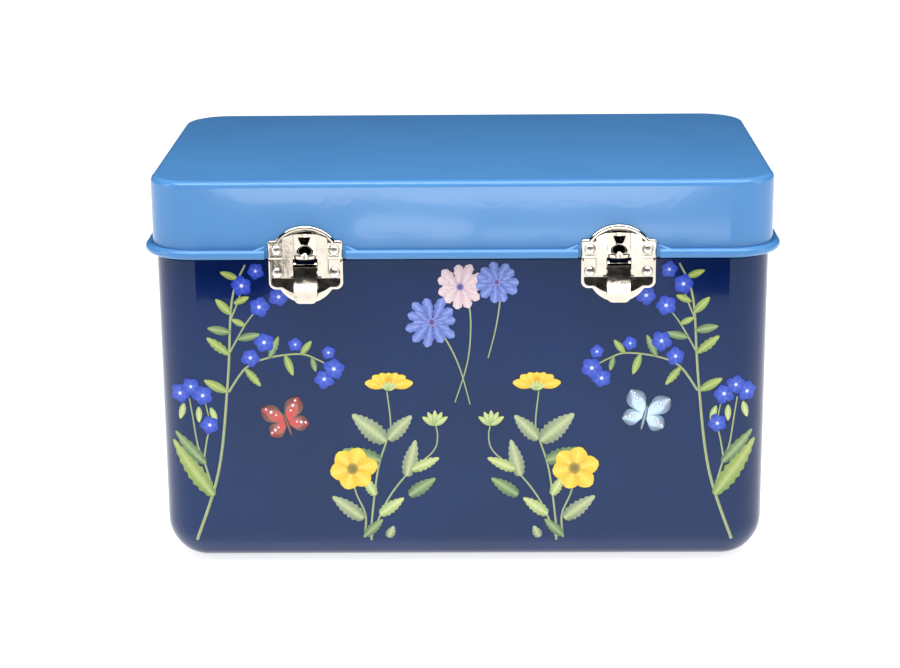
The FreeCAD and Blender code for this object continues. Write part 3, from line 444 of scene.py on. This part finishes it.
BLUE_FLOWERS = (
    (-95, 128.9, 4.6), (-88.8, 135.4, 3.8), (-87.7, 119.4, 4.6), (-79.1, 123.9, 4.4),
    (-86, 103.5, 4.6), (-92.2, 96.6, 4.2), (-56, 91.4, 4.8), (-60.3, 86.8, 4.4),
    (-58.2, 98.8, 3.2), (-111, 66, 4.2), (-123.6, 80, 4.4), (-118.6, 83.5, 4.2),
    (-113.6, 79.5, 4.6), (-72.5, 102.5, 3.2),
)
CORN_FLOWERS = ((-0.9, 128.0, 10.5, CORN_PINK), (-13.2, 112.3, 11.5, CORN_BLUE),
                (14.9, 130.0, 9.3, CORN_BLUE))


def mirrored(points, hand):
    return [(hand * x, z) for x, z in points]


def turned(degrees, hand):
    angle = math.radians(degrees)
    return angle if hand > 0 else math.pi - angle


def print_green():
    green = Print("print_stems_leaves", GREEN_LIFT)
    for hand in (1, -1):
        for points, width in SIDE_STEMS:
            green.stem(mirrored(points, hand), width, STEM)
        for number, leaf in enumerate(SIDE_LEAVES):
            base, way, length, width, fullness, teeth, tones = leaf
            green.petal((hand * base[0], base[1]), turned(way, hand), length, width, tones,
                        fullness, teeth, 0.02 + 0.012 * (number % 4), LEAF_BEND * hand)
    for points, width in MIDDLE_STEMS:
        green.stem(points, width, STEM)
    green.finish()


def print_blue():
    blue = Print("print_blue_flowers", FLOWER_LIFT)
    for hand in (1, -1):
        for x, z, radius in BLUE_FLOWERS:
            blue.flower((hand * x, z), radius, 5, BLUE, BLUE_HEART, rng.uniform(0, 1.2))
    blue.finish()


# centres, and the directions in degrees that petals and sepals point in
OPEN_FLOWER = (-48.8, 45.5)
SIDE_FLOWER = (-32.2, 83.5)
SIDE_PETALS = (172, 148, 122, 90, 58, 32, 8)
SEPALS = (146, 118, 90, 62, 34)
# base x and z, and the length of the sepals there
CALYXES = ((-32.2, 81.6, 4.2), (-12.3, 65.6, 6.6))


def print_yellow():
    yellow = Print("print_yellow_flowers", FLOWER_LIFT)
    for hand in (1, -1):
        open_flower = (hand * OPEN_FLOWER[0], OPEN_FLOWER[1])
        yellow.flower(open_flower, 10.5, 6, YELLOW, YELLOW_HEART, 0.2, 1.05)
        yellow.disc(open_flower, 2.7, *YELLOW_HEART, 0.08)
        side_flower = (hand * SIDE_FLOWER[0], SIDE_FLOWER[1])
        for degrees in SIDE_PETALS:
            length = 11.2 - 5.2 * math.sin(math.radians(degrees))
            yellow.petal(side_flower, math.radians(degrees), length, 4.6, YELLOW,
                         fullness=1.3, lift=0.02 if degrees % 4 else 0.0)
        yellow.disc((side_flower[0], side_flower[1] + 2.6), 2.3, YELLOW[0], YELLOW[1], 0.04)
        for x, z, length in CALYXES:
            for degrees in SEPALS:
                yellow.petal((hand * x, z), math.radians(degrees), length, 0.42 * length, SEPAL,
                             lift=0.05)
    yellow.finish()


# rings of petals: share of the flower's radius, number of petals, their width
RINGS = ((1.0, 11, 5.0), (0.72, 9, 3.6), (0.45, 7, 2.2))


def print_cornflowers():
    corn = Print("print_cornflowers", FLOWER_LIFT)
    for x, z, radius, tones in CORN_FLOWERS:
        for ring, (share, count, width) in enumerate(RINGS):
            for number in range(count):
                angle = 2 * math.pi * (number + 0.5 * ring) / count + rng.uniform(-0.1, 0.1)
                corn.petal((x, z), angle, radius * share * rng.uniform(0.88, 1.05), width, tones,
                           fullness=2.0, teeth=2, lift=0.016 * ring + 0.006 * (number % 2))
        corn.disc((x, z), radius * 0.16, *CORN_HEART, 0.07)
    corn.finish()


# angle in degrees, length and width of the upper and lower wing
WINGS = ((48, 14.5, 9.5), (-22, 11.0, 8.5))
# share of the wing's length, and radius
WING_SPOTS = ((0.86, 0.75), (0.66, 1.0), (0.46, 0.7))
# along the body and away from it
FEELER = ((4, 0.3), (7, 1.4), (9.5, 3.6))


def butterfly(wings, x, z, lean, size, tones, spots):
    """Four wings, a body and feelers about x, z."""
    back, edge, middle = tones
    for hand in (1, -1):
        for angle, length, width in WINGS:
            way = math.radians(lean) + turned(angle, hand)
            wings.petal((x, z), way, size * length, size * width, (back, edge, middle),
                        fullness=1.6, lift=0.0)
            wings.petal((x, z), way, size * length * 0.78, size * width * 0.62,
                        (middle, back, middle), fullness=1.5, lift=0.02)
            for share, radius in WING_SPOTS:
                step = spun(size * length * share, 0.6 * hand, way)
                wings.disc((x + step[0], z + step[1]), size * radius, spots, edge, 0.035)
    up = math.radians(lean + 90)
    tail = spun(-7.5 * size, 0, up)
    wings.petal((x + tail[0], z + tail[1]), up, 12.5 * size, 2.2 * size, (edge, edge, back),
                fullness=1.0, lift=0.05)
    for hand in (1, -1):
        feeler = [spun(along * size, hand * across * size, up) for along, across in FEELER]
        wings.stem([(x + a, z + b) for a, b in feeler], 0.5, edge, 0.02)


def print_butterflies():
    wings = Print("print_butterflies", FLOWER_LIFT)
    butterfly(wings, -77.1, 67.1, 18, 0.86,
              (colour(142, 104, 88), colour(52, 34, 38), colour(204, 62, 62)),
              colour(236, 226, 220))
    butterfly(wings, 79.4, 69.8, -14, 0.9,
              (colour(168, 194, 224), colour(36, 38, 54), colour(196, 214, 234)),
              colour(232, 238, 246))
    wings.finish()


def make_print_enamel():
    """Printed enamel colours under the same gloss as the paint round them."""
    m = Nodes("print_enamel")
    tone = m.add("ShaderNodeAttribute", attribute_name="tone").outputs["Color"]
    wear = m.remap(m.noise(0.0012, 3.0, 0.65), 0.72, 1.12)
    grain = m.add("ShaderNodeCombineColor", {0: wear, 1: wear, 2: wear}).outputs[0]
    gloss(m, m.mix(1.0, tone, grain, "MULTIPLY"), NAVY_HAZE)
    return m.material


print_enamel = make_print_enamel()
print_green()
print_blue()
print_yellow()
print_cornflowers()
print_butterflies()


# ---------------------------------------------------------------- stage and light

def flat_mesh(name, corners):
    mesh = bpy.data.meshes.new(name)
    mesh.from_pydata(corners, [], [tuple(range(len(corners)))])
    return link(bpy.data.objects.new(name, mesh))


FLOOR_REACH = 12.0
FLOOR_GLOW = 0.78
SKY_GLOW = 0.35
# heights of the reflection cards above the floor
STRIP_HEIGHT = 0.004
DARK_HEIGHT = 0.002
STRIP_STEPS = 24


def add_floor():
    reach = FLOOR_REACH
    floor = flat_mesh("floor", [(-reach, -reach, 0), (reach, -reach, 0),
                                (reach, reach, 0), (-reach, reach, 0)])
    m = Nodes("floor_paper")
    tone = m.remap(m.noise(0.6, 2.0), 0.86, 0.89)
    m.set(Base_Color=m.add("ShaderNodeCombineColor", {0: tone, 1: tone, 2: tone}).outputs[0])
    m.set(Roughness=0.9, Specular_IOR_Level=0.1)
    m.set(Normal=m.bump(m.noise(0.004, 3.0), 0.00003))
    m.set(Emission_Color=(1, 1, 1, 1), Emission_Strength=FLOOR_GLOW)
    floor.data.materials.append(m.material)


def soft_light(name, place, target, width, height, power):
    data = bpy.data.lights.new(name, "AREA")
    data.shape = "RECTANGLE"
    data.size, data.size_y = width, height
    data.energy = power
    light = link(bpy.data.objects.new(name, data))
    light.location = place
    light.rotation_euler = (Vector(target) - Vector(place)).to_track_quat("-Z", "Y").to_euler()
    return light


def card(name, corners, radiance):
    """A panel that shows only in reflections: black at 0, else glowing."""
    panel = flat_mesh(name, corners)
    m = Nodes(name)
    m.set(Base_Color=(0.002, 0.002, 0.002, 1), Roughness=1.0, Specular_IOR_Level=0.0)
    if radiance:
        m.set(Emission_Color=(1, 0.99, 0.97, 1), Emission_Strength=radiance)
    panel.data.materials.append(m.material)
    panel.visible_camera = False
    panel.visible_diffuse = False
    panel.visible_shadow = False


def strip(name, left, right, low_y, high_y, radiance):
    """A card just above the floor with tapered ends and one uneven edge."""
    edge = []
    for number in range(STRIP_STEPS + 1):
        share = number / STRIP_STEPS
        sway = 0.006 * math.sin(9 * share + 1.3) + 0.003 * math.sin(31 * share)
        taper = 0.5 * (high_y - low_y) * max(0.0, abs(2 * share - 1) - 0.8) / 0.2
        edge.append((left + (right - left) * share, sway, taper))
    front = [(x, low_y + taper, STRIP_HEIGHT) for x, _, taper in edge]
    rear = [(x, high_y - taper + sway, STRIP_HEIGHT) for x, sway, taper in reversed(edge)]
    card(name, front + rear, radiance)


def add_lights():
    world = bpy.data.worlds.new("studio")
    world.use_nodes = True
    background = world.node_tree.nodes["Background"]
    background.inputs["Color"].default_value = (1.0, 1.0, 1.0, 1)
    background.inputs["Strength"].default_value = SKY_GLOW
    world.cycles_visibility.glossy = False
    bpy.context.scene.world = world
    soft_light("overhead", (0.0, -0.20, 0.55), (0.0, -0.10, 0.17), 0.9, 0.24, 5.6)
    soft_light("left", (-1.3, -0.35, 0.45), (0, 0, 0.1), 0.5, 0.7, 3.5)
    soft_light("right", (1.3, -0.35, 0.45), (0, 0, 0.1), 0.5, 0.7, 3.5)
    strip("top_glow", -0.208, 0.196, -0.905, -0.812, 9.0)
    strip("middle_glow", -0.085, 0.006, -0.765, -0.70, 7.5)
    strip("low_glow", 0.0, 0.2, -0.735, -0.70, 6.5)
    strip("left_dark", -0.200, -0.122, -0.675, -0.530, 0)
    strip("right_dark", 0.134, 0.194, -0.675, -0.530, 0)
    far, near, side = -4, -1.0, 3
    card("dark_front", [(-side, far, DARK_HEIGHT), (side, far, DARK_HEIGHT),
                        (side, near, DARK_HEIGHT), (-side, near, DARK_HEIGHT)], 0)


add_camera()
add_floor()
add_lights()
bpy.context.scene.view_settings.view_transform = "Standard"
